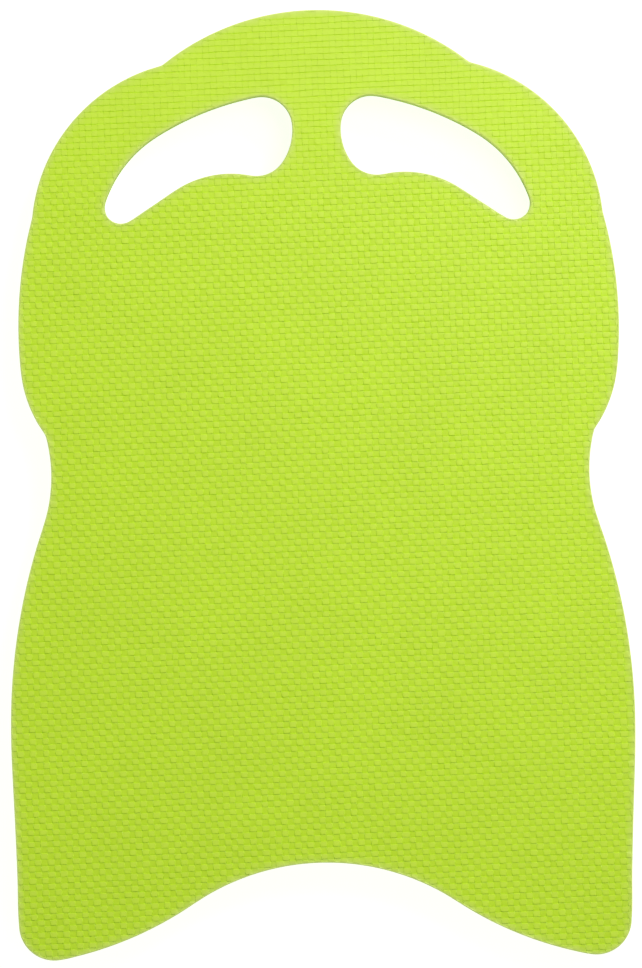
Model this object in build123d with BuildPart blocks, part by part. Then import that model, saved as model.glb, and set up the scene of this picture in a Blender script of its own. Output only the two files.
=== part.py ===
from build123d import *
import os

# Kickboard float: three sheets of closed-cell EVA foam, glued into one thick
# board and cut to a waisted outline, with a curved finger slot on each side of
# the nose. All sizes are in millimetres. The board lies flat on its bottom
# face, with +Y towards the nose and +Z up. The origin is on the bottom face, at
# the middle of the length and width.

# Driving dimensions
board_length = 440.0
board_width = 290.0
board_thickness = 30.0
face_sheet_thickness = 10.0
bond_thickness = 0.3
rim_radius = 1.0

# The core sheet fills what the face sheets and the glue lines leave.
core_thickness = board_thickness - 2 * face_sheet_thickness - 2 * bond_thickness

# Height of each layer's underside
bottom_sheet_base = 0.0
lower_bond_base = bottom_sheet_base + face_sheet_thickness
core_base = lower_bond_base + bond_thickness
upper_bond_base = core_base + core_thickness
top_sheet_base = upper_bond_base + bond_thickness

# Right half of the outline, from the middle of the nose round to the middle of
# the tail. Each point is (distance right of the centre line, distance forward
# of the tail line). The tail line touches the lowest point of both tail lobes.
nose_centre = (0, board_length)
nose_notch = (71.5, 415)
shoulder_notch = (132.5, 345)
flank_end = (138.5, 273)
waist_notch = (127.5, 244)
waist_end = (129, 201.5)
hip_widest = (board_width / 2, 107)
hip_end = (144.5, 85)
tail_corner = (142, -2.3)
tail_turn = (61, 25.5)
tail_centre = (0, 44)
shoulder_bulge = 14.7
flank_bulge = 3.3

# Three shallow notches break the outline, and their bottoms are rounded.
notches = [nose_notch, shoulder_notch, waist_notch]
notch_radius = 4.5
tail_corner_radius = 16.5

# Right finger slot, clockwise from the inner end of its front edge, counted
# like the outline. Its first arc bulges forward by slot_front_bulge.
slot_points = [
    (28, 400),
    (74.5, 382),
    (98.5, 352),
    (87, 343),
    (66.5, 356.5),
    (31, 363.5),
    (16, 369.5),
    (11.5, 388),
]
slot_front_bulge = 2.3

os.makedirs("parts", exist_ok=True)

# Finger slot: a closed chain of arcs, each running on smoothly from the last
with BuildSketch() as finger_slot:
    with BuildLine():
        slot_arc = SagittaArc(slot_points[0], slot_points[1], slot_front_bulge)
        for start, end in zip(slot_points[1:], slot_points[2:] + slot_points[:1]):
            slot_arc = TangentArc(start, end, tangent=slot_arc % 1)
    make_face()

# Board profile: both halves of the outline, less a finger slot in each. Arcs
# run on smoothly from the widest points of the nose, hip and tail to a notch
# or corner.
with BuildSketch(Plane((0, -board_length / 2, 0))) as board_profile:
    with BuildLine() as outline:
        TangentArc(nose_centre, nose_notch, tangent=(1, 0))
        SagittaArc(nose_notch, shoulder_notch, shoulder_bulge)
        flank = SagittaArc(shoulder_notch, flank_end, flank_bulge)
        TangentArc(flank_end, waist_notch, tangent=flank % 1)
        hip_front = TangentArc(hip_widest, waist_end, tangent=(0, 1))
        TangentArc(waist_end, waist_notch, tangent=hip_front % 1)
        hip_back = TangentArc(hip_widest, hip_end, tangent=(0, -1))
        TangentArc(hip_end, tail_corner, tangent=hip_back % 1)
        tail_arch = TangentArc(tail_centre, tail_turn, tangent=(1, 0))
        TangentArc(tail_turn, tail_corner, tangent=tail_arch % 1)
        for notch in notches:
            fillet(outline.vertices().sort_by_distance(notch)[0], notch_radius)
        corner = outline.vertices().sort_by_distance(tail_corner)[0]
        fillet(corner, tail_corner_radius)
        mirror(about=Plane.YZ)
    make_face()
    add(finger_slot.sketch, mode=Mode.SUBTRACT)
    mirror(finger_slot.sketch, about=Plane.YZ, mode=Mode.SUBTRACT)

# Bottom sheet: the lower face sheet, its rim rounded where the board is held
with BuildPart() as bottom_sheet:
    with BuildSketch(Plane.XY.offset(bottom_sheet_base)):
        add(board_profile.sketch)
    extrude(amount=face_sheet_thickness)
    fillet(bottom_sheet.faces().sort_by(Axis.Z)[0].edges(), rim_radius)
bottom_sheet.part.label = "bottom_sheet"
export_step(bottom_sheet.part, "parts/bottom_sheet.step")

# Core sheet: the plain middle sheet, cut flush with the face sheets
with BuildPart() as core_sheet:
    with BuildSketch(Plane.XY.offset(core_base)):
        add(board_profile.sketch)
    extrude(amount=core_thickness)
core_sheet.part.label = "core_sheet"
export_step(core_sheet.part, "parts/core_sheet.step")

# Top sheet: the upper face sheet, rounded along its upper rim and slot edges
with BuildPart() as top_sheet:
    with BuildSketch(Plane.XY.offset(top_sheet_base)):
        add(board_profile.sketch)
    extrude(amount=face_sheet_thickness)
    fillet(top_sheet.faces().sort_by(Axis.Z)[-1].edges(), rim_radius)
top_sheet.part.label = "top_sheet"
export_step(top_sheet.part, "parts/top_sheet.step")

# Bond films: the two set glue lines that join the core to the face sheets
bond_bases = {"lower_bond_film": lower_bond_base, "upper_bond_film": upper_bond_base}
for film_name, film_base in bond_bases.items():
    with BuildPart() as bond_film:
        with BuildSketch(Plane.XY.offset(film_base)):
            add(board_profile.sketch)
        extrude(amount=bond_thickness)
    bond_film.part.label = film_name
    export_step(bond_film.part, f"parts/{film_name}.step")
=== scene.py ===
"""The kickboard float's looks: embossed EVA face sheets, a cut foam core and two glue lines."""

import math

import bmesh
import bpy
import numpy as np
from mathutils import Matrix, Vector
from mathutils.geometry import delaunay_2d_cdt
from mathutils.kdtree import KDTree


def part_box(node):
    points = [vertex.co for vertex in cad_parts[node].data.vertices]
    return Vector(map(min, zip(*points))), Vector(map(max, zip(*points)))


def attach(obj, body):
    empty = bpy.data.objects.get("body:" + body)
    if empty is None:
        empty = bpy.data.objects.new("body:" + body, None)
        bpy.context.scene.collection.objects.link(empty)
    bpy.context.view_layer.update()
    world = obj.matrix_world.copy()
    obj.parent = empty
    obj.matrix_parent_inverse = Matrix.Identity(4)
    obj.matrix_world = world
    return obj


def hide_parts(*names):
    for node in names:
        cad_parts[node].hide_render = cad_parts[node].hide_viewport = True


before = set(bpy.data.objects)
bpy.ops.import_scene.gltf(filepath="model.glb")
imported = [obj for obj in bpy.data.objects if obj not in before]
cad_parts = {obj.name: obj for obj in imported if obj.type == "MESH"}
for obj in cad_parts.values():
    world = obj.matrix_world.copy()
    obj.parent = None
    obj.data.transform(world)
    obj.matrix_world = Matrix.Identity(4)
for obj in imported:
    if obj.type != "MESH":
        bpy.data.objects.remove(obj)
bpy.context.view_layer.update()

MM = 0.001

# Reading the CAD outline: points nearer than this are one point, and heights within this are level
WELD = 0.02 * MM
LEVEL = 0.01 * MM

# Outline and rim
OUTLINE_STEP = 2.0 * MM
RIM_RADIUS = 0.8 * MM
RIM_STEPS = 4
# Edges along the glue lines are eased by this much, and the glue stands back this far from the cut
LIP = 0.15 * MM
FILM_RECESS = 0.25 * MM
# Painted light pales the skin along the cut edge, and fades out over this distance
RIM_LIGHT_AT_EDGE = 0.7
RIM_LIGHT_FADE = 1.2 * MM

# Cut walls: how far the knife wandered, over how many points it did so, and the levels of one wall
CUT_WANDER = 0.04 * MM
CUT_WANDER_REACH = 6
WALL_LEVELS = 4

# Weave emboss: rows of cells, raised and lowered in turn like the threads of a plain weave
CELL_ACROSS = 2.95 * MM
CELL_ALONG = 2.81 * MM
ROW_TILT = math.radians(1.9)
# The weave is made this much larger than the face, so that its tilt leaves no corner bare
WEAVE_MARGIN = 8 * CELL_ACROSS

# Depths below the face: crest, shoulder of a raised cell, lowered cell, the groove between rows, and
# the step between two cells of a row
CROWN_DEPTH = 0.0 * MM
RAISED_DEPTH = 0.14 * MM
LOW_DEPTH = 0.42 * MM
GROOVE_DEPTH = 0.535 * MM
STEP_DEPTH = 0.13 * MM
# Each cell sinks by up to this much more, and each groove is this much shallower or deeper
SINK = 0.02 * MM
GROOVE_UNEVEN = (0.88, 1.1)

# The flat top of a cell stands in from its edges by a share of the cell: mean, spread, least and most
SIDE_GAP = (0.075, 0.01, 0.05, 0.1)
END_GAP = (0.082, 0.01, 0.06, 0.11)

# How far the lines of cells wander, over how many cells they do so, and how far each corner strays
ROW_WANDER = 0.10 * MM
ROW_WANDER_REACH = 4
COLUMN_WANDER = 0.12 * MM
COLUMN_WANDER_REACH = 2
CORNER_JITTER = 0.03 * MM

# Towards the nose the cells nearly run together into plain rows: where this begins, where it ends, how
# far it goes, the depth of such rows and of the grooves between them, and how far the side gaps close
ROWS_ONLY_FROM = 112 * MM
ROWS_ONLY_BY = 185 * MM
ROWS_ONLY_AMOUNT = 0.78
ROWS_DEPTH = 0.20 * MM
ROWS_GROOVE_DEPTH = 0.42 * MM
SIDE_GAP_CLOSING = 0.8

# The facts of a point that the materials read: crest is 0 down in the grooves and 1 on the crests, and the
# skin's colour paints shade and sheen by it; tone is one random value for each cell, and rim is how far
# painted light pales the skin towards the cut edge. Away from the weave, the first two don't vary.
RIM_CREST = 0.6
CUT_CREST = 0.5
MEAN_TONE = 0.5

# Edges that turn more than this are shaded as creases
CREASE = math.radians(32)

# A face sheet's material slots, and the one slot of the sheets between
SKIN_SLOT, CUT_SLOT = 0, 1
ONLY_SLOT = 0

# Each sheet's seed for everything random in it
SEEDS = {
    "top_sheet": 11,
    "bottom_sheet": 23,
    "core_sheet": 37,
    "upper_bond_film": 41,
    "lower_bond_film": 43,
}


def closed_rings(node):
    """The upper edges of a CAD sheet's walls, each a closed ring of points (x, y) in order."""
    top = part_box(node)[1].z
    mesh = bmesh.new()
    mesh.from_mesh(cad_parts[node].data)
    bmesh.ops.remove_doubles(mesh, verts=mesh.verts, dist=WELD)
    walls = [face for face in mesh.faces if abs(face.normal.z) < 0.5]
    # Each edge is taken against its wall's own direction
    after = {}
    for face in walls:
        for loop in face.loops:
            start, end = loop.vert, loop.link_loop_next.vert
            if min(start.co.z, end.co.z) > top - LEVEL:
                after[end.index] = start.index
    points = {v.index: (v.co.x, v.co.y) for v in mesh.verts}
    mesh.free()
    return [np.array([points[i] for i in ring]) for ring in chained(after)]


def chained(after):
    """Closed rings made from a dictionary that says which point comes after which."""
    rings = []
    while after:
        ring = [next(iter(after))]
        while after[ring[-1]] != ring[0]:
            ring.append(after.pop(ring[-1]))
        after.pop(ring[-1])
        rings.append(ring)
    return rings


def signed_area(ring):
    """Positive for a ring that runs anticlockwise."""
    x, y = ring.T
    return 0.5 * float(np.sum(x * np.roll(y, -1) - y * np.roll(x, -1)))


def smooth_ring(ring, step):
    """A smooth closed curve through the ring's points: its points, and its normals to the right."""
    chord = np.roll(ring, -1, 0) - ring
    length = np.linalg.norm(chord, axis=1)[:, None]
    before, before_length = np.roll(chord / length, 1, 0), np.roll(length, 1, 0)
    tangent = before * length + chord / length * before_length
    tangent /= np.linalg.norm(tangent, axis=1)[:, None]
    points, normals = [], []
    for i, size in enumerate(length[:, 0]):
        a, b = ring[i], ring[(i + 1) % len(ring)]
        ta, tb = tangent[i] * size, tangent[(i + 1) % len(ring)] * size
        for t in np.arange(0, 1, 1 / math.ceil(size / step)):
            points.append(
                (2 * t**3 - 3 * t**2 + 1) * a + (t**3 - 2 * t**2 + t) * ta
                + (3 * t**2 - 2 * t**3) * b + (t**3 - t**2) * tb
            )
            way = (
                (6 * t**2 - 6 * t) * (a - b) + (3 * t**2 - 4 * t + 1) * ta
                + (3 * t**2 - 2 * t) * tb
            )
            way /= np.linalg.norm(way)
            normals.append((way[1], -way[0]))
    return np.array(points), np.array(normals)


class Outline:
    """The board's plan: the rim, then the finger slots, with the foam always on the left of travel."""

    def __init__(self, node):
        rings = sorted(closed_rings(node), key=lambda ring: -abs(signed_area(ring)))
        points, normals, self.rings = [], [], []
        start = 0
        for number, ring in enumerate(rings):
            runs_left = signed_area(ring) > 0
            if runs_left != (number == 0):
                ring = ring[::-1]
            ring_points, ring_normals = smooth_ring(ring, OUTLINE_STEP)
            self.rings.append(list(range(start, start + len(ring_points))))
            points.append(ring_points)
            normals.append(ring_normals)
            start += len(ring_points)
        self.points = np.concatenate(points)
        self.normals = np.concatenate(normals)
        self.length = len(self.points)

    def rings_from(self, first):
        """The rings of a copy of the outline whose points are numbered from first."""
        return [[first + i for i in ring] for ring in self.rings]

    def near(self, plan):
        """How far each point of a plan is from the outline."""
        tree = KDTree(self.length)
        for number, (x, y) in enumerate(self.points):
            tree.insert((x, y, 0), number)
        tree.balance()
        return np.array([tree.find((x, y, 0))[2] for x, y in plan])

    def inset(self, distance):
        """The outline's points, moved into the foam by one distance or by one for each point."""
        return self.points - self.normals * np.reshape(distance, (-1, 1))


def ring_edges(rings):
    """The edges of closed rings, as pairs of points."""
    return [(a, b) for ring in rings for a, b in zip(ring, ring[1:] + ring[:1])]


def triangle_edges(triangles):
    """Each triangle's three edges, as pairs of points that run round it."""
    return np.concatenate([triangles[:, [0, 1]], triangles[:, [1, 2]], triangles[:, [2, 0]]])


def fill(points, edges, rings):
    """Triangles over the area between rings that lie one inside another, keeping each edge.
    Returns the triangles, and the points with any new ones added at the end."""
    areas = [ring if signed_area(points[ring]) > 0 else ring[::-1] for ring in rings]
    whole_hull, tolerance = 0, 1e-8
    made, _, faces, source, _, owners = delaunay_2d_cdt(
        [Vector(p) for p in points], edges, areas, whole_hull, tolerance, True
    )
    number = []
    extra = []
    for place, origin in zip(made, source):
        if origin:
            number.append(origin[0])
        else:
            number.append(len(points) + len(extra))
            extra.append(tuple(place))
    # A triangle belongs to the area when an odd number of rings go round it
    triangles = [[number[v] for v in face] for face, owner in zip(faces, owners) if len(owner) % 2]
    return np.array(triangles), np.concatenate([points, np.array(extra).reshape(-1, 2)])


def wandering(rng, shape, axis, reach):
    """Random offsets that change gradually along one axis, of about unit size."""
    noise = rng.normal(size=shape)
    kernel = np.hanning(2 * reach + 3)[1:-1]
    kernel /= np.linalg.norm(kernel)
    return np.apply_along_axis(lambda row: np.convolve(row, kernel, mode="same"), axis, noise)


def random_gaps(rng, cells, gap):
    """For each cell the gaps at two opposite edges."""
    mean, spread, least, most = gap
    return np.clip(rng.normal(mean, spread, (2, *cells)), least, most)


def blended(value, rows_value, rows_only):
    """A depth that changes to its value in the plain rows as rows_only goes from 0 to 1."""
    return value + (rows_value - value) * rows_only


def lattice(rng, low, high, tilt):
    """The corners of the weave's cells over a box, and which of the cells are raised."""
    centre = (np.array(low) + np.array(high)) / 2
    span = np.array(high) - np.array(low) + WEAVE_MARGIN
    columns, rows = int(span[0] / CELL_ACROSS) + 2, int(span[1] / CELL_ALONG) + 2
    i, j = np.meshgrid(np.arange(columns + 1), np.arange(rows + 1), indexing="ij")
    x = (i - columns / 2) * CELL_ACROSS + COLUMN_WANDER * wandering(rng, i.shape, 1, COLUMN_WANDER_REACH)
    y = (j - rows / 2) * CELL_ALONG + ROW_WANDER * wandering(rng, i.shape, 0, ROW_WANDER_REACH)
    x += CORNER_JITTER * rng.normal(size=i.shape)
    y += CORNER_JITTER * rng.normal(size=i.shape)
    turn = np.array([[math.cos(tilt), math.sin(tilt)], [-math.sin(tilt), math.cos(tilt)]])
    return np.stack([x, y], -1) @ turn + centre, (i[:-1, :-1] + j[:-1, :-1]) % 2 == 0


def inside_cells(corners, u, v):
    """The point of each cell at a share u of its width and v of its length."""
    u, v = u[..., None], v[..., None]
    return (
        corners[:-1, :-1] * (1 - u) * (1 - v) + corners[1:, :-1] * u * (1 - v)
        + corners[1:, 1:] * u * v + corners[:-1, 1:] * (1 - u) * v
    )


def plain_rows_share(y):
    """How far the weave has turned into plain rows at each y, rising smoothly towards the nose."""
    share = np.clip((y - ROWS_ONLY_FROM) / (ROWS_ONLY_BY - ROWS_ONLY_FROM), 0, 1)
    return ROWS_ONLY_AMOUNT * share**2 * (3 - 2 * share)


def weave(rng, low, high, tilt):
    """The weave's flat pattern over a box: its points, its edges, and each point's depth, crest and tone."""
    corner_points, raised = lattice(rng, low, high, tilt)
    cells = raised.shape
    rows_only = plain_rows_share(corner_points[..., 1])
    corner_depth = blended(GROOVE_DEPTH, ROWS_GROOVE_DEPTH, rows_only)
    corner_depth *= rng.uniform(*GROOVE_UNEVEN, corner_depth.shape)
    step_points = (corner_points[:, :-1] + corner_points[:, 1:]) / 2
    step_points[..., 0] += CORNER_JITTER * rng.normal(size=step_points.shape[:2])
    step_depth = blended(STEP_DEPTH, ROWS_DEPTH, rows_only[:, :-1])

    rows_only = rows_only[:-1, :-1]
    side = random_gaps(rng, cells, SIDE_GAP) * (1 - SIDE_GAP_CLOSING * rows_only)
    end = random_gaps(rng, cells, END_GAP)
    sink = SINK * rng.uniform(0, 1, cells)
    tone = rng.uniform(0, 1, cells)

    left, right, back, front = side[0], 1 - side[1], end[0], 1 - end[1]
    places = ((left, back), (right, back), (right, front), (left, front))
    ring_points = np.stack([inside_cells(corner_points, u, v) for u, v in places], 2)
    ring_depth = np.where(raised, RAISED_DEPTH, LOW_DEPTH) + sink
    ring_depth = blended(ring_depth, ROWS_DEPTH, rows_only)
    crown_points = ring_points[raised].mean(1)
    crown_depth = (ring_depth - (RAISED_DEPTH - CROWN_DEPTH) * (1 - rows_only))[raised]

    corner = np.arange(corner_depth.size).reshape(corner_depth.shape)
    step = corner.size + np.arange(step_depth.size).reshape(step_depth.shape)
    ring = corner.size + step.size + np.arange(4 * raised.size).reshape(*cells, 4)
    crown = corner.size + step.size + ring.size + np.arange(crown_depth.size)
    corners_of_cell = np.stack([corner[:-1, :-1], corner[1:, :-1], corner[1:, 1:], corner[:-1, 1:]], -1)
    edges = [
        (corner[:-1], corner[1:]),
        (corner[:, :-1], step),
        (step, corner[:, 1:]),
        (ring, np.roll(ring, -1, -1)),
        (ring, corners_of_cell),
        (np.repeat(crown, 4), ring[raised]),
    ]
    edges = np.concatenate([np.stack([start.ravel(), end.ravel()], 1) for start, end in edges])
    points = (corner_points, step_points, ring_points, crown_points)
    points = np.concatenate([kind.reshape(-1, 2) for kind in points])
    depth = (corner_depth, step_depth, np.repeat(ring_depth, 4), crown_depth)
    depth = np.concatenate([kind.ravel() for kind in depth])
    plain = np.full(corner.size + step.size, MEAN_TONE)
    facts = {
        "depth": depth,
        "crest": 1 - depth / depth.max(),
        "tone": np.concatenate([plain, np.repeat(tone, 4), tone[raised]]),
    }
    return points, edges, facts


def spread_to(values, known, triangles):
    """Gives the points that aren't known the mean of their neighbours, working outwards."""
    pairs = triangle_edges(triangles)
    pairs = np.concatenate([pairs, pairs[:, ::-1]])
    known = known.copy()
    while True:
        useful = pairs[known[pairs[:, 1]] & ~known[pairs[:, 0]]]
        if not len(useful):
            return values
        count = np.bincount(useful[:, 0], minlength=len(known))
        for name in values:
            total = np.bincount(useful[:, 0], values[name][useful[:, 1]], minlength=len(known))
            values[name] = np.where(count > 0, total / np.maximum(count, 1), values[name])
        known |= count > 0


def border_rings(triangles):
    """The closed rings of the edges that only one triangle has, with the triangles on their left."""
    held = set(map(tuple, triangle_edges(triangles).tolist()))
    return chained({a: b for a, b in held if (b, a) not in held})


class Solid:
    """Points, triangles and per-point facts of one piece, gathered level by level."""

    def __init__(self):
        self.points = np.zeros((0, 3))
        self.triangles, self.materials = [], []
        self.facts = {name: np.zeros(0) for name in ("crest", "tone", "rim")}

    def add_points(self, plan, z, **facts):
        """Adds points over a plan at a height or heights, and returns the first one's number."""
        start = len(self.points)
        heights = np.broadcast_to(z, len(plan))
        self.points = np.concatenate([self.points, np.column_stack([plan, heights])])
        for name in self.facts:
            value = np.broadcast_to(facts.get(name, 0.0), len(plan))
            self.facts[name] = np.concatenate([self.facts[name], value])
        return start

    def add_triangles(self, triangles, material):
        self.triangles.append(np.asarray(triangles))
        self.materials.append(np.full(len(triangles), material))

    def join(self, rings, upper, lower, material):
        """A wall between two levels that share the outline's rings."""
        a, b = np.array(ring_edges(rings)).T
        self.add_triangles(np.stack([lower + a, lower + b, upper + b], 1), material)
        self.add_triangles(np.stack([lower + a, upper + b, upper + a], 1), material)

    def make_object(self, name, materials):
        """The closed piece as an object in the scene, its faces turned outwards and shaded smooth."""
        mesh = bpy.data.meshes.new(name)
        mesh.from_pydata(self.points.tolist(), [], np.concatenate(self.triangles).tolist())
        mesh.polygons.foreach_set("material_index", np.concatenate(self.materials).astype(np.int32))
        for fact, values in self.facts.items():
            attribute = mesh.attributes.new(fact, "FLOAT", "POINT")
            attribute.data.foreach_set("value", values.astype(np.float32))
        for material in materials:
            mesh.materials.append(material)
        cleaner = bmesh.new()
        cleaner.from_mesh(mesh)
        loose = [v for v in cleaner.verts if not v.link_faces]
        bmesh.ops.delete(cleaner, geom=loose, context="VERTS")
        bmesh.ops.recalc_face_normals(cleaner, faces=cleaner.faces)
        cleaner.to_mesh(mesh)
        cleaner.free()
        mesh.shade_smooth()
        mesh.set_sharp_from_angle(angle=CREASE)
        piece = bpy.data.objects.new(name, mesh)
        bpy.context.scene.collection.objects.link(piece)
        # Large faces lead the shading, so that each cell keeps its own even light
        weigh = piece.modifiers.new("weigh_normals", "WEIGHTED_NORMAL")
        weigh.keep_sharp = True
        return piece


def cut_wall(solid, outline, rng, level, wall, material):
    """Cut foam from a level onwards: wall lists each level's inset and height. Returns the last level."""
    for inset, z in wall:
        wander = CUT_WANDER * wandering(rng, outline.length, 0, CUT_WANDER_REACH)
        plan = outline.inset(inset + np.abs(wander))
        next_level = solid.add_points(plan, z, crest=CUT_CREST, tone=MEAN_TONE)
        solid.join(outline.rings, level, next_level, material)
        level = next_level
    return level


def cap(solid, outline, level, material):
    """Closes a level with a flat face."""
    plan = solid.points[level:level + outline.length, :2]
    triangles, _ = fill(plan, [], outline.rings)
    solid.add_triangles(triangles + level, material)


def rim_painted_light(distance):
    """How far painted light pales the skin at a distance from the cut edge."""
    return RIM_LIGHT_AT_EDGE * np.exp(-distance / RIM_LIGHT_FADE)


def emboss_face(solid, outline, rng, face_z, up, tilt):
    """The woven face inside the rim. Returns the rings of points along its border."""
    inner = outline.inset(RIM_RADIUS)
    points, edges, facts = weave(rng, inner.min(0), inner.max(0), tilt)
    first = len(points)
    triangles, plan = fill(np.concatenate([points, inner]), edges.tolist(), outline.rings_from(first))
    known = np.zeros(len(plan), bool)
    known[:first] = True
    facts = {name: np.pad(values, (0, len(plan) - first)) for name, values in facts.items()}
    facts = spread_to(facts, known, triangles)
    used = np.unique(triangles)
    renumber = np.full(len(plan), -1)
    renumber[used] = np.arange(len(used))
    triangles = renumber[triangles]
    plan = plan[used]
    facts = {name: values[used] for name, values in facts.items()}
    heights = face_z - up * facts["depth"]
    rim_light = rim_painted_light(outline.near(plan))
    solid.add_points(plan, heights, crest=facts["crest"], tone=facts["tone"], rim=rim_light)
    solid.add_triangles(triangles, SKIN_SLOT)
    return border_rings(triangles)


def round_rim(solid, outline, face_z, up, face_rings):
    """The rounded rim, from the woven face's border out to the cut edge. Returns its outermost level."""
    border = sorted(sum(face_rings, []))
    place = {v: i for i, v in enumerate(border)}
    face_rings = [[place[v] for v in ring] for ring in face_rings]
    plans = [solid.points[border, :2]]
    numbers = [np.array(border)]
    levels = []
    for step in range(1, RIM_STEPS + 1):
        angle = math.pi / 2 * step / RIM_STEPS
        inset = RIM_RADIUS * (1 - math.sin(angle))
        # The rim starts halfway down the weave and runs out to a plain rounded edge
        drop = RIM_RADIUS * (1 - math.cos(angle)) + LOW_DEPTH / 2 * (1 - step / RIM_STEPS)
        plan = outline.inset(inset)
        rim_light = rim_painted_light(inset)
        level = solid.add_points(plan, face_z - up * drop, crest=RIM_CREST, tone=MEAN_TONE, rim=rim_light)
        levels.append(outline.rings_from(sum(map(len, plans))))
        plans.append(plan)
        numbers.append(level + np.arange(outline.length))
    edges = ring_edges(face_rings) + [edge for rings in levels[:-1] for edge in ring_edges(rings)]
    triangles, _ = fill(np.concatenate(plans), edges, face_rings + levels[-1])
    solid.add_triangles(np.concatenate(numbers)[triangles], SKIN_SLOT)
    return level


def embossed_sheet(name, outline, node, up, materials):
    """A face sheet: woven face, rounded rim, cut walls eased at the glue line, and a flat back.
    The face looks up where up is 1, and down where it is -1."""
    rng = np.random.default_rng(SEEDS[node])
    low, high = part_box(node)
    face_z, back_z = (high.z, low.z) if up == 1 else (low.z, high.z)
    solid = Solid()
    face_rings = emboss_face(solid, outline, rng, face_z, up, up * ROW_TILT)
    rim = round_rim(solid, outline, face_z, up, face_rings)
    heights = np.linspace(face_z - up * RIM_RADIUS, back_z + up * LIP, WALL_LEVELS + 1)[1:]
    wall = [(0.0, z) for z in heights] + [(LIP, back_z)]
    back = cut_wall(solid, outline, rng, rim, wall, CUT_SLOT)
    cap(solid, outline, back, CUT_SLOT)
    return solid.make_object(name, materials)


def plain_sheet(name, outline, node, recess, materials):
    """A flat sheet of the node's thickness, its walls set back by recess and its edges eased."""
    rng = np.random.default_rng(SEEDS[node])
    low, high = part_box(node)
    lip = min(LIP, (high.z - low.z) / 4)
    solid = Solid()
    top = solid.add_points(outline.inset(recess + lip), high.z)
    heights = np.linspace(high.z - lip, low.z + lip, WALL_LEVELS + 1)
    wall = [(recess, z) for z in heights] + [(recess + lip, low.z)]
    bottom = cut_wall(solid, outline, rng, top, wall, ONLY_SLOT)
    cap(solid, outline, top, ONLY_SLOT)
    cap(solid, outline, bottom, ONLY_SLOT)
    return solid.make_object(name, materials)


def linear(red, green, blue):
    """A colour given as 0 to 255 on a screen, in the shader's linear values."""
    channels = [c / 255 for c in (red, green, blue)]
    return [c / 12.92 if c <= 0.04045 else ((c + 0.055) / 1.055) ** 2.4 for c in channels] + [1.0]


class Shader:
    """A material's node tree, with short calls for the nodes that this scene uses."""

    def __init__(self, name):
        self.material = bpy.data.materials.new(name)
        self.material.use_nodes = True
        self.tree = self.material.node_tree
        self.surface = self.tree.nodes["Principled BSDF"]

    def node(self, kind, inputs=(), **settings):
        """A new node, its inputs set to values or joined to other nodes."""
        made = self.tree.nodes.new(kind)
        for key, value in settings.items():
            setattr(made, key, value)
        for key, value in dict(inputs).items():
            self.put(made.inputs[key], value)
        return made

    def put(self, socket, value):
        if isinstance(value, bpy.types.NodeSocket):
            self.tree.links.new(value, socket)
        else:
            socket.default_value = value

    def set(self, name, value):
        """Sets one of the surface's own inputs."""
        self.put(self.surface.inputs[name], value)

    def place(self, stretch=(1, 1, 1)):
        """Where a point is on the board, in metres, stretched along each axis."""
        where = self.node("ShaderNodeTexCoord").outputs["Object"]
        return self.node("ShaderNodeMapping", {"Vector": where, "Scale": stretch}).outputs["Vector"]

    def noise(self, scale, detail=3.0, stretch=(1, 1, 1)):
        settings = {"Vector": self.place(stretch), "Scale": scale, "Detail": detail}
        return self.node("ShaderNodeTexNoise", settings).outputs["Fac"]

    def fact(self, name):
        """One of the facts that the mesh keeps for each point."""
        return self.node("ShaderNodeAttribute", attribute_name=name).outputs["Fac"]

    def remap(self, value, low, high, to_low, to_high):
        settings = {"Value": value, "From Min": low, "From Max": high, "To Min": to_low, "To Max": to_high}
        return self.node("ShaderNodeMapRange", settings).outputs["Result"]

    def mix(self, factor, first, second):
        made = self.node("ShaderNodeMix", data_type="RGBA", blend_type="MIX")
        self.put(made.inputs[0], factor)
        self.put(made.inputs[6], first)
        self.put(made.inputs[7], second)
        return made.outputs[2]

    def bump(self, height, distance, strength, normal=None):
        settings = {"Height": height, "Distance": distance, "Strength": strength}
        if normal is not None:
            settings["Normal"] = normal
        return self.node("ShaderNodeBump", settings).outputs["Normal"]


# Darker lime, used as painted shade down in the weave's grooves, and as the glue's smear colour
LIME_GROOVE = linear(186, 225, 10)
LIME_LOW = linear(191, 232, 12)
# Paler, whiter lime: a painted sheen on the crests of the weave
LIME_CREST_PAINTED_SHEEN = linear(198, 234, 55)
# Pale lime: painted light along the rounded rim at the cut edge
RIM_PAINTED_LIGHT = linear(204, 218, 140)
CUT_LIME = linear(190, 216, 84)
CUT_PORE = linear(142, 174, 44)
GLUE = linear(150, 158, 84)

# Textures, in features to the metre
MOTTLE_SCALE = 28.0
SKIN_GRAIN_SCALE = 2600.0
PORE_SCALE = 2900.0
KNIFE_DRAG_SCALE = 140.0
GLUE_SMEAR_SCALE = 420.0

# Each cell, and each patch of skin, is darker or lighter by up to this much
BRIGHTNESS = (0.985, 1.015)


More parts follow.
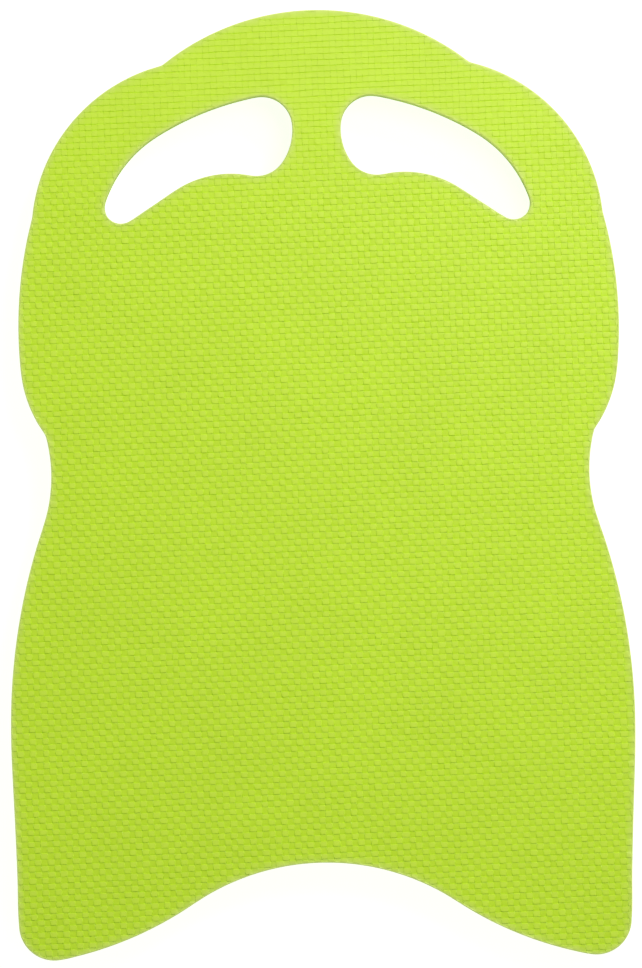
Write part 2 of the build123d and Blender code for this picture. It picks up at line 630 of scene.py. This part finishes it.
def embossed_eva():
    """Moulded skin of lime EVA: painted shade deepens the colour down in the weave, a painted sheen pales
    the crests and painted light pales the rim.
    """
    shader = Shader("embossed_eva")
    crest, tone = shader.fact("crest"), shader.fact("tone")
    # Painted shade: the skin's colour darkens down into the grooves
    colour = shader.mix(shader.remap(crest, 0.0, 0.25, 0, 1), LIME_GROOVE, LIME_LOW)
    # Painted sheen: the skin's colour pales towards each crest
    colour = shader.mix(shader.remap(crest, 0.3, 1.0, 0, 1), colour, LIME_CREST_PAINTED_SHEEN)
    cell_value = shader.remap(tone, 0, 1, *BRIGHTNESS)
    mottle = shader.remap(shader.noise(MOTTLE_SCALE), 0.3, 0.7, *BRIGHTNESS)
    value = shader.node("ShaderNodeMath", {0: cell_value, 1: mottle}, operation="MULTIPLY").outputs[0]
    toned = shader.node("ShaderNodeHueSaturation", {"Color": colour, "Value": value}).outputs[0]
    # Painted light: the skin pales towards the cut edge along the rim
    shader.set("Base Color", shader.mix(shader.fact("rim"), toned, RIM_PAINTED_LIGHT))
    grain = shader.noise(SKIN_GRAIN_SCALE, detail=2.0)
    shader.set("Roughness", shader.remap(grain, 0.3, 0.7, 0.42, 0.5))
    shader.set("Normal", shader.bump(grain, 0.02 * MM, 0.5))
    shader.set("Specular IOR Level", 0.8)
    return shader.material


def cut_eva():
    """Knife-cut closed-cell foam: fine open pores and faint drag lines along the cut."""
    shader = Shader("cut_eva")
    pores = shader.node("ShaderNodeTexVoronoi", {"Vector": shader.place(), "Scale": PORE_SCALE})
    pore = shader.remap(pores.outputs["Distance"], 0.1, 0.55, 0, 1)
    drag = shader.noise(KNIFE_DRAG_SCALE, detail=4.0, stretch=(1, 1, 14))
    colour = shader.mix(pore, CUT_PORE, CUT_LIME)
    colour = shader.mix(shader.remap(drag, 0.35, 0.65, 0, 0.25), colour, LIME_LOW)
    shader.set("Base Color", colour)
    shader.set("Roughness", shader.remap(pore, 0, 1, 0.85, 0.68))
    dragged = shader.bump(drag, 0.08 * MM, 0.6)
    shader.set("Normal", shader.bump(pore, 0.06 * MM, 0.7, dragged))
    shader.set("Specular IOR Level", 0.25)
    return shader.material


def set_adhesive():
    """Dried contact glue: dull olive, slightly glossy, with a pulled, uneven edge."""
    shader = Shader("set_adhesive")
    smear = shader.noise(GLUE_SMEAR_SCALE, detail=4.0, stretch=(1, 1, 3))
    shader.set("Base Color", shader.mix(shader.remap(smear, 0.35, 0.65, 0, 1), GLUE, LIME_GROOVE))
    shader.set("Roughness", shader.remap(smear, 0.3, 0.7, 0.35, 0.55))
    shader.set("Normal", shader.bump(smear, 0.05 * MM, 0.5))
    return shader.material


def build_board():
    """The five pieces, each standing for its CAD node."""
    outline = Outline("core_sheet")
    skin, cut, glue = embossed_eva(), cut_eva(), set_adhesive()
    top = embossed_sheet("top_face_sheet", outline, "top_sheet", 1, [skin, cut])
    bottom = embossed_sheet("bottom_face_sheet", outline, "bottom_sheet", -1, [skin, cut])
    core = plain_sheet("foam_core", outline, "core_sheet", 0.0, [cut])
    upper = plain_sheet("upper_glue_line", outline, "upper_bond_film", FILM_RECESS, [glue])
    lower = plain_sheet("lower_glue_line", outline, "lower_bond_film", FILM_RECESS, [glue])
    stands_for = [
        (top, "top_sheet", "embossed_eva"),
        (bottom, "bottom_sheet", "embossed_eva"),
        (core, "core_sheet", "core_eva"),
        (upper, "upper_bond_film", "set_adhesive"),
        (lower, "lower_bond_film", "set_adhesive"),
    ]
    for piece, node, slot in stands_for:
        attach(piece, "root")
        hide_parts(node)


CAMERA_DISTANCE = 10.0
FRAME_HEIGHT = 449.4 * MM
CAMERA_SHIFT = (0.25 * MM, -0.15 * MM)
CAMERA_ROLL = math.radians(-0.65)


def place_camera():
    """Straight above the top face, with a long lens, rolled slightly against the board's centre line."""
    camera = bpy.data.objects.new("camera", bpy.data.cameras.new("camera"))
    bpy.context.scene.collection.objects.link(camera)
    bpy.context.scene.camera = camera
    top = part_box("top_sheet")[1].z
    camera.location = (*CAMERA_SHIFT, top + CAMERA_DISTANCE)
    camera.rotation_euler = (0, 0, CAMERA_ROLL)
    camera.data.lens = camera.data.sensor_width * CAMERA_DISTANCE / FRAME_HEIGHT
    camera.data.clip_end = 3 * CAMERA_DISTANCE


FLOOR_HALF = 15.0
FLOOR_GREY = 0.5
FLOOR_GLOW = 0.82


def place_floor():
    """A pale matte floor that the board lies on, glowing a little so that it stays near white."""
    corners = [(x * FLOOR_HALF, y * FLOOR_HALF, 0) for x, y in ((-1, -1), (1, -1), (1, 1), (-1, 1))]
    mesh = bpy.data.meshes.new("floor")
    mesh.from_pydata(corners, [], [(0, 1, 2, 3)])
    floor = bpy.data.objects.new("floor", mesh)
    bpy.context.scene.collection.objects.link(floor)
    shader = Shader("pale_floor")
    shader.set("Base Color", (FLOOR_GREY, FLOOR_GREY, FLOOR_GREY, 1))
    shader.set("Roughness", 0.9)
    shader.set("Specular IOR Level", 0.1)
    shader.set("Emission Color", (1, 1, 1, 1))
    shader.set("Emission Strength", FLOOR_GLOW)
    mesh.materials.append(shader.material)


# The room's brightness level with the board and straight above it
ROOM_SIDES = 1.12
ROOM_OVERHEAD = 0.15
WARM = (1.0, 0.92, 0.8)
# Each softbox: azimuth and elevation in degrees, distance and width in metres, and power in watts
SOFTBOXES = {
    "key": (34, 44, 2.2, 0.7, 19.0),
    "sheen": (33, 66, 1.0, 0.3, 2.4),
}


def softbox(name, azimuth, elevation, distance, width, power):
    """A warm area light that faces the origin. Azimuth runs clockwise from +Y seen from above."""
    light = bpy.data.lights.new(name, "AREA")
    light.shape = "SQUARE"
    light.size, light.energy, light.color = width, power, WARM
    lamp = bpy.data.objects.new(name, light)
    bpy.context.scene.collection.objects.link(lamp)
    level = math.cos(elevation)
    way = Vector((math.sin(azimuth) * level, math.cos(azimuth) * level, math.sin(elevation)))
    lamp.location = way * distance
    lamp.rotation_euler = way.to_track_quat("Z", "Y").to_euler()
    lamp.visible_camera = False


def light_studio():
    """Warm softboxes beyond the nose and to its right, in a white room that is darker overhead."""
    world = bpy.data.worlds.new("white_room")
    bpy.context.scene.world = world
    world.use_nodes = True
    nodes, links = world.node_tree.nodes, world.node_tree.links
    where = nodes.new("ShaderNodeTexCoord")
    height = nodes.new("ShaderNodeSeparateXYZ")
    level = nodes.new("ShaderNodeMapRange")
    level.inputs["To Min"].default_value = ROOM_SIDES
    level.inputs["To Max"].default_value = ROOM_OVERHEAD
    links.new(where.outputs["Generated"], height.inputs["Vector"])
    links.new(height.outputs["Z"], level.inputs["Value"])
    links.new(level.outputs["Result"], nodes["Background"].inputs["Strength"])
    nodes["Background"].inputs["Color"].default_value = (1, 1, 1, 1)
    for name, (azimuth, elevation, distance, width, power) in SOFTBOXES.items():
        softbox(name, math.radians(azimuth), math.radians(elevation), distance, width, power)
    bpy.context.scene.view_settings.view_transform = "Standard"


place_camera()
place_floor()
light_studio()
build_board()
